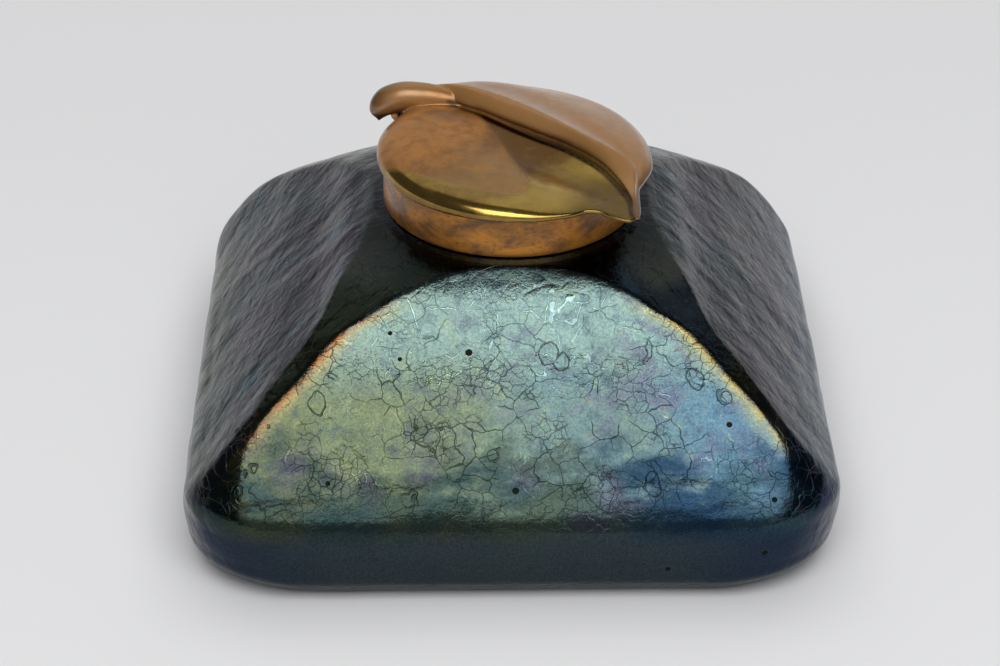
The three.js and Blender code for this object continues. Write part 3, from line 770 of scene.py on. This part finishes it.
class Nodes:
    """Short calls for building one node material."""

    def __init__(self, name):
        self.material = bpy.data.materials.new(name)
        self.material.use_nodes = True
        self.tree = self.material.node_tree
        self.shader = self.tree.nodes["Principled BSDF"]

    def add(self, kind, settings=None, **inputs):
        node = self.tree.nodes.new(kind)
        for key, value in (settings or {}).items():
            setattr(node, key, value)
        for key, value in inputs.items():
            self.feed(node.inputs[key.replace("_", " ")], value)
        return node

    def feed(self, socket, value):
        if isinstance(value, bpy.types.NodeSocket):
            self.tree.links.new(value, socket)
        else:
            socket.default_value = value

    def set(self, **inputs):
        for key, value in inputs.items():
            self.feed(self.shader.inputs[key.replace("_", " ")], value)

    def millimetres(self):
        coordinates = self.add("ShaderNodeTexCoord").outputs["Object"]
        return self.scaled_place(coordinates, (1000, 1000, 1000))

    def scaled_place(self, vector, scale):
        return self.vector("MULTIPLY", vector, scale)

    def vector(self, operation, a, b=(0, 0, 0)):
        node = self.add("ShaderNodeVectorMath", {"operation": operation})
        self.feed(node.inputs[0], a)
        self.feed(node.inputs[1], b)
        return node.outputs["Vector"]

    def axes(self, vector):
        outputs = self.add("ShaderNodeSeparateXYZ", Vector=vector).outputs
        return outputs["X"], outputs["Y"], outputs["Z"]

    def joined(self, x, y, z):
        return self.add("ShaderNodeCombineXYZ", X=x, Y=y, Z=z).outputs["Vector"]

    def fanned(self, x, y, z):
        """Places drawn out down the slopes, so that a texture runs out from the neck like a fan."""
        flat = self.joined(x, y, 0.0)
        direction = self.vector("NORMALIZE", flat)
        spread = self.vector("MULTIPLY", direction, (6, 6, 0))
        return self.vector("ADD", spread, self.joined(0.0, 0.0, self.math("MULTIPLY", z, 0.07)))

    def attribute(self, name):
        return self.add("ShaderNodeAttribute", {"attribute_name": name}).outputs["Fac"]

    def warp(self, vector, scale, amount):
        node = self.add("ShaderNodeTexNoise", Vector=vector, Scale=scale, Detail=2.0)
        push = self.vector("SUBTRACT", node.outputs["Color"], (0.5, 0.5, 0.5))
        return self.vector("ADD", vector, self.vector("MULTIPLY", push, (amount * 2,) * 3))

    def shifted(self, vector, amount):
        return self.vector("ADD", vector, (amount, -amount, -amount))

    def edge_lines(self, vector, scale, width):
        """1 along the walls between random cells, and 0 inside them."""
        settings = {"feature": "DISTANCE_TO_EDGE"}
        node = self.add("ShaderNodeTexVoronoi", settings, Vector=vector, Scale=scale)
        return self.range(node.outputs["Distance"], width * 0.35, width, 1, 0, smooth=True)

    def rings(self, vector, scale, radius, width):
        """Thin closed ovals round scattered centres."""
        node = self.add("ShaderNodeTexVoronoi", Vector=vector, Scale=scale)
        off = self.math("ABSOLUTE", self.math("SUBTRACT", node.outputs["Distance"], radius * scale))
        return self.range(off, width * scale * 0.3, width * scale, 1, 0, smooth=True)

    def pits(self, vector):
        """1 in small scattered pits, and 0 round them."""
        node = self.add("ShaderNodeTexVoronoi", Vector=vector, Scale=0.105)
        return self.range(node.outputs["Distance"], 0.055, 0.068, 1, 0, smooth=True)

    def scaled(self, colour, factor):
        if isinstance(colour, tuple):
            return tuple(channel * factor for channel in colour)
        return self.vector("MULTIPLY", colour, (factor,) * 3)

    def noise(self, vector, scale, detail=4.0, roughness=0.55, distortion=0.0):
        return self.add(
            "ShaderNodeTexNoise", Vector=vector, Scale=scale, Detail=detail, Roughness=roughness,
            Distortion=distortion).outputs["Fac"]

    def ramp(self, value, stops):
        """A colour that runs through (position, colour) stops."""
        node = self.add("ShaderNodeValToRGB", Fac=value)
        elements = node.color_ramp.elements
        while len(elements) < len(stops):
            elements.new(0.5)
        for element, (position, colour) in zip(elements, stops):
            element.position = position
            element.color = (*colour, 1)
        return node.outputs["Color"]

    def range(self, value, low, high, to_low=0.0, to_high=1.0, smooth=False):
        """A value at low becomes to_low, and one at high becomes to_high, and it goes no further."""
        node = self.add("ShaderNodeMapRange", {"clamp": True})
        if smooth:
            node.interpolation_type = "SMOOTHSTEP"
        self.feed(node.inputs["Value"], value)
        ends = {"From Min": low, "From Max": high, "To Min": to_low, "To Max": to_high}
        for name, number in ends.items():
            node.inputs[name].default_value = number
        return node.outputs["Result"]

    def math(self, operation, a, b=0.0):
        node = self.add("ShaderNodeMath", {"operation": operation})
        self.feed(node.inputs[0], a)
        self.feed(node.inputs[1], b)
        return node.outputs[0]

    def times(self, a, b):
        return self.math("MULTIPLY", a, b)

    def mix(self, factor, a, b):
        """Colour a where the factor is 0, and colour b where it is 1."""
        node = self.add("ShaderNodeMix", {"data_type": "RGBA"})
        self.feed(node.inputs["Factor"], factor)
        self.feed(node.inputs["A"], (*a, 1) if isinstance(a, tuple) else a)
        self.feed(node.inputs["B"], (*b, 1) if isinstance(b, tuple) else b)
        return node.outputs["Result"]

    def bump(self, height, strength, distance_mm):
        node = self.add("ShaderNodeBump", Height=height, Strength=strength, Distance=distance_mm * MM)
        return node.outputs["Normal"]


# The lustre glass. Colours are linear light, and (start, end) pairs are millimetres.
FACE_LEFT_TO_RIGHT = [
    (0.0, (0.085, 0.095, 0.045)), (0.28, (0.10, 0.125, 0.070)), (0.45, (0.105, 0.14, 0.095)),
    (0.62, (0.095, 0.15, 0.145)), (0.80, (0.070, 0.135, 0.18)), (1.0, (0.05, 0.09, 0.17)),
]
FACE_TOP = (0.165, 0.25, 0.235)
BLUE_BLOTCH = (0.040, 0.060, 0.085)
STRAW_BLOTCH = (0.19, 0.22, 0.13)
LILAC_BLUSH = (0.085, 0.075, 0.125)
WARM_FRINGE_WIDTH = 3.6
WARM_FRINGE = [
    (0.0, (0.10, 0.045, 0.02)), (0.22, (0.24, 0.12, 0.05)), (0.42, (0.27, 0.21, 0.09)),
    (0.8, (0.20, 0.20, 0.10)),
]
PALE_FRINGE_WIDTH = 2.4
PALE_FRINGE = [(0.0, (0.10, 0.07, 0.02)), (0.35, (0.27, 0.24, 0.10)), (0.8, (0.20, 0.24, 0.15))]
DOME_LEFT = (0.050, 0.066, 0.046)
DOME_RIGHT = (0.030, 0.045, 0.060)
DOME_OLIVE = (0.060, 0.062, 0.022)
DOME_STREAK = (0.040, 0.085, 0.125)
FLANK_COLOURS = [
    (0.30, (0.022, 0.056, 0.068)), (0.42, (0.036, 0.048, 0.058)), (0.54, (0.048, 0.045, 0.060)),
    (0.66, (0.036, 0.052, 0.070)),
]
FLANK_FLECK = (0.016, 0.125, 0.170)
FLANK_VIOLET = (0.070, 0.045, 0.080)
FLANK_EDGE = (0.13, 0.15, 0.12)
# Painted shadow: a near-black colour for the glass just below the collar, standing in for the collar's
# shade.
PAINTED_COLLAR_SHADOW = (0.012, 0.016, 0.022)
LOW_LEFT = ((0.024, 0.044, 0.044), (0.050, 0.066, 0.040))
LOW_RIGHT = ((0.014, 0.036, 0.070), (0.030, 0.062, 0.080))
LOW_VIOLET = (0.045, 0.026, 0.070)
FOOT_MIDDLE = (0.040, 0.056, 0.066)
FOOT_CORNER = (0.018, 0.030, 0.066)
PIT_COLOUR = (0.010, 0.012, 0.008)
LUSTRE_EDGE_TINT = 0.88

FOOT_Z = (17, 12)
FADE_TO_LOW_Z = (30, 20)
ABOVE_FOOT_Z = (19, 27)
UPPER_Z = (33, 42)
FRINGE_END_Z = (48.5, 43)
CREASE_END_Z = (45.0, 47.5)
PAINTED_COLLAR_SHADOW_Z = (48, 50.4)


def glass_fringe(m, p, face):
    """The warm line just inside the arch, stronger on the left, where the lustre is thinnest."""
    x, _, z = m.axes(p)
    arch = m.attribute("arch")
    warm = m.ramp(m.range(arch, 0, WARM_FRINGE_WIDTH), WARM_FRINGE)
    pale = m.ramp(m.range(arch, 0, PALE_FRINGE_WIDTH), PALE_FRINGE)
    colour = m.mix(m.range(x, 20, -25), pale, warm)
    share = m.times(m.range(arch, WARM_FRINGE_WIDTH, 0.9), m.range(z, *FRINGE_END_Z, smooth=True))
    ragged = m.range(m.noise(p, 0.25, 3.0), 0.35, 0.6, 0.45, 1)
    share = m.times(m.times(share, ragged), m.range(z, *ABOVE_FOOT_Z, smooth=True))
    return m.mix(share, face, colour)


def glass_face(m, p):
    """The face inside the arch: straw at the left to blue at the right, paler at the top, and blotched."""
    x, _, z = m.axes(p)
    drift = m.range(m.noise(p, 0.045, 2.0), 0.3, 0.7, -0.10, 0.10)
    face = m.ramp(m.math("ADD", m.range(x, -60, 60), drift), FACE_LEFT_TO_RIGHT)
    face = m.mix(m.times(m.range(z, *UPPER_Z, smooth=True), 0.75), face, FACE_TOP)
    blotch = m.noise(p, 0.30, 5.0, 0.7, 0.6)
    face = m.mix(m.range(blotch, 0.50, 0.66, 0, 0.55), face, BLUE_BLOTCH)
    face = m.mix(m.range(blotch, 0.46, 0.32, 0, 0.45), face, STRAW_BLOTCH)
    blush = m.range(m.noise(p, 0.10, 3.0, distortion=1.2), 0.50, 0.66, 0, 0.5)
    face = m.mix(m.times(blush, m.range(x, -20, 30, 0.35, 1)), face, LILAC_BLUSH)
    return glass_fringe(m, p, face)


def glass_flank(m, p, fan):
    """The two faces at the sides: slate grey, with violet patches and teal flecks that run downhill."""
    x = m.axes(p)[0]
    flank = m.ramp(m.noise(fan, 0.45, 2.0, 0.4), FLANK_COLOURS)
    flecks = m.range(m.noise(fan, 1.3, 3.0), 0.58, 0.68, 0, 0.8)
    flank = m.mix(m.times(flecks, m.range(x, 30, -10, 0.3, 1)), flank, FLANK_FLECK)
    flank = m.mix(m.range(m.noise(p, 0.06, 2.0), 0.48, 0.60, 0, 0.35), flank, FLANK_VIOLET)
    return m.mix(m.range(m.attribute("arch"), 1.3, 0.2, 0, 0.7), flank, FLANK_EDGE)


def glass_dome(m, p, fan, flank, sideways):
    """The dark dome between the arches. Near the neck it blends into the flanks."""
    x, _, z = m.axes(p)
    dome = m.mix(m.range(x, -12, 12), DOME_LEFT, DOME_RIGHT)
    olive = m.range(m.noise(p, 0.08, 2.0), 0.45, 0.6, 0, 0.7)
    dome = m.mix(m.times(olive, m.range(z, 44, 36)), dome, DOME_OLIVE)
    streak = m.noise(fan, 1.3, 4.0, 0.6)
    dome = m.mix(m.range(streak, 0.55, 0.72, 0, 0.6), dome, DOME_STREAK)
    blended = m.times(m.range(z, *CREASE_END_Z, smooth=True), m.range(sideways, -9, 2, smooth=True))
    return m.mix(blended, dome, m.scaled(flank, 0.8))


def glass_foot(m, p, face):
    """Each face fades, over a wavering line, into a dark band and a navy foot."""
    x, _, z = m.axes(p)
    cloud = m.range(m.noise(p, 0.05, 3.0), 0.42, 0.6)
    low = m.mix(m.range(x, -5, 35), m.mix(cloud, *LOW_LEFT), m.mix(cloud, *LOW_RIGHT))
    low = m.mix(m.range(m.noise(p, 0.09, 2.0), 0.54, 0.64, 0, 0.35), low, LOW_VIOLET)
    waver = m.range(m.noise(m.scaled_place(p, (1.0, 1.0, 2.0)), 0.11, 4.0, 0.6), 0.3, 0.7, -6.5, 6.5)
    face = m.mix(m.range(m.math("ADD", z, waver), *FADE_TO_LOW_Z, smooth=True), face, low)
    navy = m.mix(m.range(m.math("ABSOLUTE", x), 30, 52), FOOT_MIDDLE, FOOT_CORNER)
    return m.mix(m.range(z, *FOOT_Z, 0, 0.85, smooth=True), face, navy)


def glass_dark_lines(m, p, warped):
    """Fine cells, smaller ones in patches, and a few closed ovals."""
    z = m.axes(p)[2]
    cells = m.edge_lines(warped, 0.22, 0.018)
    cells = m.times(cells, m.range(m.noise(p, 0.12, 2.0), 0.44, 0.56))
    small_cells = m.edge_lines(m.warp(p, 0.4, 1.0), 0.52, 0.030)
    small_cells = m.times(small_cells, m.range(m.noise(p, 0.10, 2.0), 0.53, 0.62, 0, 0.8))
    ovals = m.rings(m.warp(m.scaled_place(p, (1.0, 0.8, 0.8)), 0.22, 2.2), 0.12, 1.6, 0.15)
    ovals = m.times(ovals, m.range(m.noise(p, 0.07, 1.0), 0.50, 0.54))
    lines = m.math("MAXIMUM", cells, m.math("MAXIMUM", small_cells, ovals))
    lines = m.times(lines, m.range(z, 46, 38, 0.35, 1))
    return m.times(lines, m.range(z, 15, 22, 0.12, 1))


def glass_bright_lines(m, p, warped, on_face):
    """Glints beside the dark lines, and long pale cells that hang from the top of the arch."""
    z = m.axes(p)[2]
    glints = m.edge_lines(m.shifted(warped, 0.20), 0.24, 0.022)
    glints = m.times(glints, m.range(m.noise(p, 0.09, 2.0), 0.46, 0.60))
    hanging = m.warp(m.scaled_place(p, (1.0, 0.35, 0.35)), 0.25, 0.8)
    long_cells = m.times(m.edge_lines(hanging, 0.26, 0.016), m.range(z, *UPPER_Z, smooth=True))
    lines = m.times(m.math("MAXIMUM", glints, long_cells), on_face)
    return m.times(lines, m.range(z, 13, 20, 0.1, 1))


def glass_height(m, p, sideways, marks):
    """Height of the fine surface, in millimetres: (mark, height) pairs, dimples and waves."""
    height = 0.0
    for mark, rise in marks:
        height = m.math("ADD", height, m.times(mark, rise))
    height = m.math("ADD", height, m.times(m.noise(p, 0.45, 3.0), 0.14))
    waves = m.range(m.noise(p, 0.16, 2.0), 0.25, 0.75, -0.22, 0.22)
    return m.math("ADD", height, m.times(waves, m.range(sideways, -1, 1)))


def lustre_glass():
    """Dark glass with a lustre skin: its colours drift from straw to blue across each face."""
    m = Nodes("lustre_glass")
    p = m.millimetres()
    x, y, z = m.axes(p)
    fan = m.fanned(x, y, z)
    on_face = m.range(m.attribute("arch"), -0.3, 0.2, smooth=True)
    from_middle = m.math("ABSOLUTE", m.math("SUBTRACT", x, NECK_CENTRE[0]))
    sideways = m.math("SUBTRACT", from_middle, m.math("ABSOLUTE", y))

    flank = glass_flank(m, p, fan)
    colour = m.mix(m.range(sideways, -0.6, 0.6, smooth=True), glass_face(m, p), flank)
    colour = m.mix(m.math("SUBTRACT", 1.0, on_face), colour, glass_dome(m, p, fan, flank, sideways))
    # Painted shadow: the glass just under the collar is darkened, as if shaded by the collar.
    colour = m.mix(m.range(z, *PAINTED_COLLAR_SHADOW_Z, 0, 0.6), colour, PAINTED_COLLAR_SHADOW)
    colour = glass_foot(m, p, colour)

    warped = m.warp(p, 0.20, 2.0)
    dark_lines = glass_dark_lines(m, p, warped)
    bright_lines = glass_bright_lines(m, p, warped, on_face)
    stipple = m.noise(p, 2.4, 2.0, 0.7)
    pits = m.pits(p)
    colour = m.mix(m.range(stipple, 0.36, 0.64, 0, 0.60), colour, m.scaled(colour, 0.45))
    # Painted relief light: the crackle's dark lines are darkened as painted shade and the glints offset
    # beside them are brightened as a painted highlight, on top of their bump; the long pale cells among
    # the bright lines are the lustre's own.
    colour = m.mix(m.times(dark_lines, 0.58), colour, m.scaled(colour, 0.15))
    colour = m.mix(m.times(bright_lines, 0.75), colour, m.scaled(colour, 2.2))
    colour = m.mix(pits, colour, PIT_COLOUR)

    rough = m.range(m.noise(p, 0.2, 4.0), 0.3, 0.7, 0.14, 0.22)
    rough = m.math("ADD", rough, m.times(pits, 0.3))
    marks = [(stipple, 0.06), (dark_lines, -0.12), (bright_lines, 0.05), (pits, -0.30)]
    normal = m.bump(glass_height(m, p, sideways, marks), 0.6, 1.0)
    m.set(Base_Color=colour, Metallic=1.0, Roughness=rough, Normal=normal)
    m.set(Specular_Tint=(LUSTRE_EDGE_TINT, LUSTRE_EDGE_TINT, LUSTRE_EDGE_TINT, 1))
    return m.material


# The brass. Aged metal is part metallic under a thin coat, and rubbed metal is bare.
LID_AGED = ((0.50, 0.215, 0.042), (0.23, 0.092, 0.020), (0.13, 0.055, 0.016))
COLLAR_AGED = ((0.52, 0.205, 0.024), (0.17, 0.072, 0.018), (0.06, 0.032, 0.015))
AGED_OLIVE = (0.30, 0.21, 0.075)
# Painted reflection: a paler brown for the lid's back lobe, standing in for the pale backdrop it reflects.
PAINTED_BACK_REFLECTION = (0.50, 0.27, 0.10)
# Rubbed brass runs from a dark painted shade to golden, a painted reflection of the lamps.
RUBBED_PAINTED_SHADE = (0.24, 0.12, 0.032)
RUBBED_GOLDEN = (0.70, 0.47, 0.105)


def brass(name, aged_colours, mottle, bands=0.0):
    """Cast or spun brass: bright where it is rubbed, brown and half matt where it has aged, with painted
    shade and painted reflection laid over it where the lid's mesh is marked.

    aged_colours run from fresh to dark. mottle is how fine its clouds are, and bands how far they are
    flattened into level bands.
    """
    fresh, aged, dark = aged_colours
    m = Nodes(name)
    p = m.millimetres()
    banded = m.scaled_place(p, (1.0, 1.0, 1.0 + bands))
    cloud = m.noise(banded, 0.085 * mottle, 4.0, 0.6, 0.8)
    grain = m.noise(banded, 0.5 * mottle, 4.0, 0.65)
    colour = m.mix(m.range(cloud, 0.38, 0.62), aged, fresh)
    colour = m.mix(m.range(grain, 0.46, 0.74, 0, 0.55), colour, dark)
    specks = m.range(m.noise(p, 0.9, 2.0), 0.70, 0.75)
    colour = m.mix(m.times(specks, 0.6), colour, m.scaled(dark, 0.25))
    to_the_right = m.range(m.axes(p)[0], -4, 24, 0, 0.12 * bands)
    colour = m.mix(to_the_right, colour, m.scaled(dark, 0.6))

    rubbed = m.attribute("rubbed")
    back = m.attribute("back")
    colour = m.mix(m.times(m.attribute("olive"), 0.45), colour, AGED_OLIVE)
    # Painted reflection: the back lobe and the stem are lightened, as if reflecting the pale backdrop.
    colour = m.mix(m.times(back, 0.55), colour, PAINTED_BACK_REFLECTION)
    # Painted shade and painted reflection over the rubbed brass: dark in the hollow's left part, golden
    # towards the tip and the front rim; the grain adds a little real variation.
    painted_shade_gold = m.math("ADD", m.attribute("painted_shade_gold"), m.range(grain, 0.3, 0.7, 0.15, -0.25))
    colour = m.mix(rubbed, colour, m.mix(painted_shade_gold, RUBBED_PAINTED_SHADE, RUBBED_GOLDEN))
    # Painted shadow in the fold's crevice, under the band.
    colour = m.mix(m.times(m.attribute("crevice"), 0.75), colour, m.scaled(dark, 0.15))
    # Painted shade on the lowest rim and on the stem's end.
    colour = m.mix(m.times(m.attribute("painted_low_shade"), 0.65), colour, m.scaled(dark, 0.4))

    metallic = m.math("ADD", m.range(cloud, 0.35, 0.65, 0.40, 0.62), m.times(rubbed, 0.55))
    rough = m.math("SUBTRACT", m.range(grain, 0.3, 0.7, 0.30, 0.42), m.times(rubbed, 0.17))
    scratches = m.noise(m.scaled_place(p, (0.3, 2.4, 1.0)), 2.4, 3.0)
    height = m.math("ADD", m.times(grain, 0.03), m.times(scratches, 0.012))
    height = m.math("ADD", height, m.times(m.noise(p, 0.16, 2.0), 0.12))
    m.set(Base_Color=colour, Metallic=metallic, Roughness=rough, Normal=m.bump(height, 0.35, 1.0))
    coat = m.math("ADD", m.range(cloud, 0.3, 0.7, 0.35, 0.15), m.times(back, 0.55))
    m.set(Coat_Weight=coat, Coat_Roughness=0.16)
    return m.material


POT_COLOUR = (0.86, 0.93, 0.90)
INK_STAIN = (0.02, 0.025, 0.06)
STAIN_TOP_Z = (33, 28)


def clear_glass():
    """Pressed glass, faintly green, with dried ink low in the pot."""
    m = Nodes("clear_glass")
    p = m.millimetres()
    level = m.math("ADD", m.axes(p)[2], m.range(m.noise(p, 0.35, 4.0), 0.3, 0.7, -3.5, 3.5))
    stain = m.range(level, *STAIN_TOP_Z, smooth=True)
    m.set(Base_Color=m.mix(stain, POT_COLOUR, INK_STAIN))
    m.set(Roughness=m.range(m.noise(p, 0.9, 4.0), 0.35, 0.7, 0.04, 0.16), IOR=1.5)
    m.set(Transmission_Weight=m.range(stain, 0, 1, 0.92, 0.25))
    m.set(Normal=m.bump(m.noise(p, 0.4, 3.0), 0.25, 0.3))
    return m.material


PLASTER_PALE = (0.62, 0.57, 0.48)
PLASTER_DARK = (0.50, 0.44, 0.34)
PLASTER_GRIT = (0.30, 0.26, 0.20)


def plaster():
    """Gritty old plaster."""
    m = Nodes("plaster")
    p = m.millimetres()
    grit = m.noise(p, 1.6, 5.0, 0.7)
    tint = m.mix(m.range(m.noise(p, 0.3, 3.0), 0.35, 0.65), PLASTER_PALE, PLASTER_DARK)
    m.set(Base_Color=m.mix(m.range(grit, 0.55, 0.75, 0, 0.6), tint, PLASTER_GRIT))
    m.set(Roughness=m.range(grit, 0.3, 0.7, 0.8, 0.95), Normal=m.bump(grit, 0.6, 0.5))
    return m.material


# ---- stage, camera and light ----

CAMERA_LENS = 104.07
SENSOR_WIDTH = 36
CAMERA_TARGET = (-1.44, 0, 20.77)
CAMERA_DISTANCE = 559.6
CAMERA_ELEVATION = 31.43
CAMERA_TURN = -0.85
FLOOR_ALBEDO = 0.78
ROOM_LIGHT = (0.07, 0.07, 0.075, 1)

# Name, azimuth and elevation in degrees, distance, width and height in metres, radiance, reflected.
LIGHTS = [
    ("front_softbox", 6, 54, 1.5, 1.5, 0.95, 2.9, True),
    ("back_wall", 180, 50, 1.8, 3.0, 1.5, 0.34, True),
    ("overhead_fill", 180, 80, 1.6, 2.4, 2.4, 0.75, False),
    ("low_softbox", 0, 33, 1.5, 1.5, 0.22, 1.0, True),
    ("low_fill", 0, 15, 1.5, 1.6, 0.68, 0.42, True),
    ("floor_fill", 0, 48, 0.8, 0.9, 0.35, 0.60, False),
]


def from_centre(azimuth, elevation):
    """A direction away from the object. Azimuth 0 is in front of it, and grows to the right."""
    a, e = math.radians(azimuth), math.radians(elevation)
    return Vector((math.sin(a) * math.cos(e), -math.cos(a) * math.cos(e), math.sin(e)))


def make_camera():
    """The camera, placed as the photograph's was."""
    data = bpy.data.cameras.new("camera")
    data.lens = CAMERA_LENS
    data.sensor_width = SENSOR_WIDTH
    camera = linked("camera", data)
    back = from_centre(CAMERA_TURN, CAMERA_ELEVATION)
    camera.location = Vector(CAMERA_TARGET) * MM + back * (CAMERA_DISTANCE * MM)
    camera.rotation_mode = "QUATERNION"
    camera.rotation_quaternion = (-back).to_track_quat("-Z", "Y")
    bpy.context.scene.camera = camera


def plain_material(name, value, roughness):
    m = Nodes(name)
    m.set(Base_Color=(value, value, value * 1.01, 1), Roughness=roughness, Specular_IOR_Level=0.1)
    return m.material


def make_stage():
    """A pale floor that sweeps up into a low backdrop behind the object."""
    floor_half, depth_front, depth_back, height, bend = 1.6, 1.4, 1.15, 0.60, 0.25
    profile = [(-depth_front, 0.0), (depth_back - bend, 0.0)]
    profile += [
        (depth_back - bend + bend * math.sin(a), bend - bend * math.cos(a))
        for a in np.linspace(0, math.pi / 2, 12)[1:]
    ]
    profile.append((depth_back, height))
    points = [(x, y, z) for y, z in profile for x in (-floor_half, floor_half)]
    faces = [(2 * n, 2 * n + 1, 2 * n + 3, 2 * n + 2) for n in range(len(profile) - 1)]
    mesh = bpy.data.meshes.new("floor")
    mesh.from_pydata(points, [], faces)
    mesh.shade_smooth()
    floor = linked("floor", mesh)
    mesh.materials.append(plain_material("pale_paper", FLOOR_ALBEDO, 0.9))


def area_light(name, azimuth, elevation, distance, width, height, radiance, glossy):
    """A softbox that faces the object."""
    data = bpy.data.lights.new(name, "AREA")
    data.shape = "RECTANGLE"
    data.size, data.size_y = width, height
    data.energy = radiance * math.pi * width * height
    light = linked(name, data)
    back = from_centre(azimuth, elevation)
    light.location = back * distance
    light.rotation_mode = "QUATERNION"
    light.rotation_quaternion = back.to_track_quat("Z", "Y")
    light.visible_glossy = glossy


def make_lights():
    for light in LIGHTS:
        area_light(*light)
    world = bpy.data.worlds.new("room")
    bpy.context.scene.world = world
    world.use_nodes = True
    world.node_tree.nodes["Background"].inputs["Color"].default_value = ROOM_LIGHT
    bpy.context.scene.view_settings.view_transform = "Standard"


def dress(piece, material):
    piece.data.materials.clear()
    piece.data.materials.append(material)


def main():
    make_camera()
    make_stage()
    make_lights()
    dress(make_glass_body(), lustre_glass())

    lid_brass = brass("lid_brass", LID_AGED, mottle=0.8)
    dress(make_lid_shell(), lid_brass)
    dress(ring_piece("lid_ring_turned", "lid_ring", LID_RING_WALL, "lid", 0.2), lid_brass)
    dress(eased_copy("lid_leaf_eased", "lid_hinge_leaf", "lid", 0.15), lid_brass)

    collar_brass = brass("collar_brass", COLLAR_AGED, mottle=1.6, bands=1.0)
    dress(make_collar(), collar_brass)
    dress(eased_copy("collar_leaf_eased", "collar_hinge_leaf", "base", 0.15), collar_brass)
    dress(eased_copy("hinge_pin_eased", "hinge_pin", "base", 0.1), collar_brass)

    dress(make_ink_pot(), clear_glass())
    dress(ring_piece("plaster_bed", "neck_plaster", PLASTER_WALL, "base", 0.1), plaster())


main()
